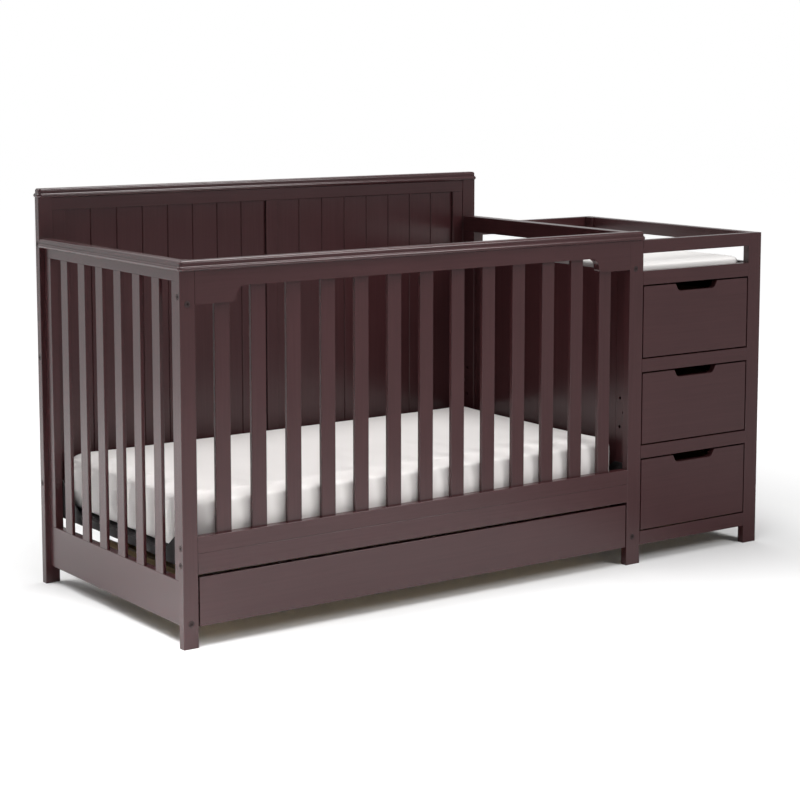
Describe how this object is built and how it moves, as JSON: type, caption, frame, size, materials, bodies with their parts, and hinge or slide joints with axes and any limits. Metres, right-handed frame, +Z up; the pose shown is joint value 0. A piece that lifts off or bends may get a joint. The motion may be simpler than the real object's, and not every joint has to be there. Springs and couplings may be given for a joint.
{
  "type": "crib with attached changer",
  "caption": "Slatted crib with a grooved solid headboard and a full-width drawer, sharing a front post with a narrow changer that has a railed top and roller-runner drawers.",
  "frame": {"origin": "centre of the footprint's bounding box, on the floor", "axes": "+X along the length from the crib to the changer, -Y to the front, +Z up"},
  "size_m": [1.87, 0.778, 1.04],
  "materials": {
    "espresso_timber": "satin espresso lacquer",
    "drawer_timber": "clear sealed",
    "bracket_steel": "black",
    "support_steel": "satin black",
    "runner_steel": "cream epoxy",
    "roller_nylon": "moulded",
    "mattress_cloth": "white woven cover",
    "pad_cloth": "white cover"
  },
  "bodies": {
    "frame": {"headboard_posts": "espresso_timber", "headboard_cap": "espresso_timber", "headboard_top_rail": "espresso_timber", "headboard_bottom_rail": "espresso_timber", "headboard_stiles": "espresso_timber", "headboard_panels": "espresso_timber", "front_left_leg": "espresso_timber", "shared_front_post": "espresso_timber", "front_cap": "espresso_timber", "front_top_rail": "espresso_timber", "front_bottom_rail": "espresso_timber", "front_apron": "espresso_timber", "front_slats": "espresso_timber", "left_end_cap": "espresso_timber", "left_end_top_rail": "espresso_timber", "left_end_stiles": "espresso_timber", "left_end_slats": "espresso_timber", "left_end_apron": "espresso_timber", "support_brackets": "bracket_steel", "support_frame": "support_steel", "support_bands": "support_steel", "mattress": "mattress_cloth", "changer_front_right_post": "espresso_timber", "changer_back_posts": "espresso_timber", "changer_side_stiles": "espresso_timber", "changer_side_panels": "espresso_timber", "changer_back_panel": "espresso_timber", "changer_top_board": "espresso_timber", "changer_front_rails": "espresso_timber", "changer_back_rails": "espresso_timber", "changer_side_gallery_rails": "espresso_timber", "runner_cleats": "drawer_timber", "changing_pad": "pad_cloth", "frame_bolts": "bracket_steel", "crib_drawer_tracks": "runner_steel", "changer_drawer_tracks": "runner_steel"},
    "crib_drawer": {"crib_drawer_front": "espresso_timber", "crib_drawer_box": "drawer_timber", "crib_drawer_bottom": "drawer_timber", "crib_drawer_runners": "runner_steel"},
    "crib_front_rollers": {"crib_drawer_front_rollers": "roller_nylon"},
    "crib_rear_rollers": {"crib_drawer_rear_rollers": "roller_nylon"},
    "top_drawer": {"top_drawer_front": "espresso_timber", "top_drawer_box": "drawer_timber", "top_drawer_bottom": "drawer_timber", "top_drawer_runners": "runner_steel"},
    "top_front_rollers": {"top_drawer_front_rollers": "roller_nylon"},
    "top_rear_rollers": {"top_drawer_rear_rollers": "roller_nylon"},
    "middle_drawer": {"middle_drawer_front": "espresso_timber", "middle_drawer_box": "drawer_timber", "middle_drawer_bottom": "drawer_timber", "middle_drawer_runners": "runner_steel"},
    "middle_front_rollers": {"middle_drawer_front_rollers": "roller_nylon"},
    "middle_rear_rollers": {"middle_drawer_rear_rollers": "roller_nylon"},
    "bottom_drawer": {"bottom_drawer_front": "espresso_timber", "bottom_drawer_box": "drawer_timber", "bottom_drawer_bottom": "drawer_timber", "bottom_drawer_runners": "runner_steel"},
    "bottom_front_rollers": {"bottom_drawer_front_rollers": "roller_nylon"},
    "bottom_rear_rollers": {"bottom_drawer_rear_rollers": "roller_nylon"}
  },
  "joints": [
    {"name": "crib_drawer_slide", "type": "slide", "parent": "frame", "child": "crib_drawer", "axis": [0, -1, 0], "range_m": [0, 0.34]},
    {"name": "top_drawer_slide", "type": "slide", "parent": "frame", "child": "top_drawer", "axis": [0, -1, 0], "range_m": [0, 0.32]},
    {"name": "middle_drawer_slide", "type": "slide", "parent": "frame", "child": "middle_drawer", "axis": [0, -1, 0], "range_m": [0, 0.32]},
    {"name": "bottom_drawer_slide", "type": "slide", "parent": "frame", "child": "bottom_drawer", "axis": [0, -1, 0], "range_m": [0, 0.32]},
    {"name": "crib_front_rollers_turn", "type": "hinge", "parent": "frame", "child": "crib_front_rollers", "pos_m": [-0.2245, -0.345, 0.0788], "axis": [1, 0, 0], "range_deg": [-5, 1953]},
    {"name": "crib_rear_rollers_turn", "type": "hinge", "parent": "crib_drawer", "child": "crib_rear_rollers", "pos_m": [-0.2245, 0.074, 0.0803], "axis": [1, 0, 0], "range_deg": [-5, 1628]},
    {"name": "top_front_rollers_turn", "type": "hinge", "parent": "frame", "child": "top_front_rollers", "pos_m": [0.6885, -0.345, 0.5968], "axis": [1, 0, 0], "range_deg": [-5, 1838]},
    {"name": "top_rear_rollers_turn", "type": "hinge", "parent": "top_drawer", "child": "top_rear_rollers", "pos_m": [0.6885, 0.074, 0.5983], "axis": [1, 0, 0], "range_deg": [-5, 1533]},
    {"name": "middle_front_rollers_turn", "type": "hinge", "parent": "frame", "child": "middle_front_rollers", "pos_m": [0.6885, -0.345, 0.3588], "axis": [1, 0, 0], "range_deg": [-5, 1838]},
    {"name": "middle_rear_rollers_turn", "type": "hinge", "parent": "middle_drawer", "child": "middle_rear_rollers", "pos_m": [0.6885, 0.074, 0.3603], "axis": [1, 0, 0], "range_deg": [-5, 1533]},
    {"name": "bottom_front_rollers_turn", "type": "hinge", "parent": "frame", "child": "bottom_front_rollers", "pos_m": [0.6885, -0.345, 0.1208], "axis": [1, 0, 0], "range_deg": [-5, 1838]},
    {"name": "bottom_rear_rollers_turn", "type": "hinge", "parent": "bottom_drawer", "child": "bottom_rear_rollers", "pos_m": [0.6885, 0.074, 0.1223], "axis": [1, 0, 0], "range_deg": [-5, 1533]}
  ],
  "couplings": [
    {"joint": "crib_front_rollers_turn", "follows": "crib_drawer_slide", "rad_per_m": 100},
    {"joint": "crib_rear_rollers_turn", "follows": "crib_drawer_slide", "rad_per_m": 83.333},
    {"joint": "top_front_rollers_turn", "follows": "top_drawer_slide", "rad_per_m": 100},
    {"joint": "top_rear_rollers_turn", "follows": "top_drawer_slide", "rad_per_m": 83.333},
    {"joint": "middle_front_rollers_turn", "follows": "middle_drawer_slide", "rad_per_m": 100},
    {"joint": "middle_rear_rollers_turn", "follows": "middle_drawer_slide", "rad_per_m": 83.333},
    {"joint": "bottom_front_rollers_turn", "follows": "bottom_drawer_slide", "rad_per_m": 100},
    {"joint": "bottom_rear_rollers_turn", "follows": "bottom_drawer_slide", "rad_per_m": 83.333}
  ]
}
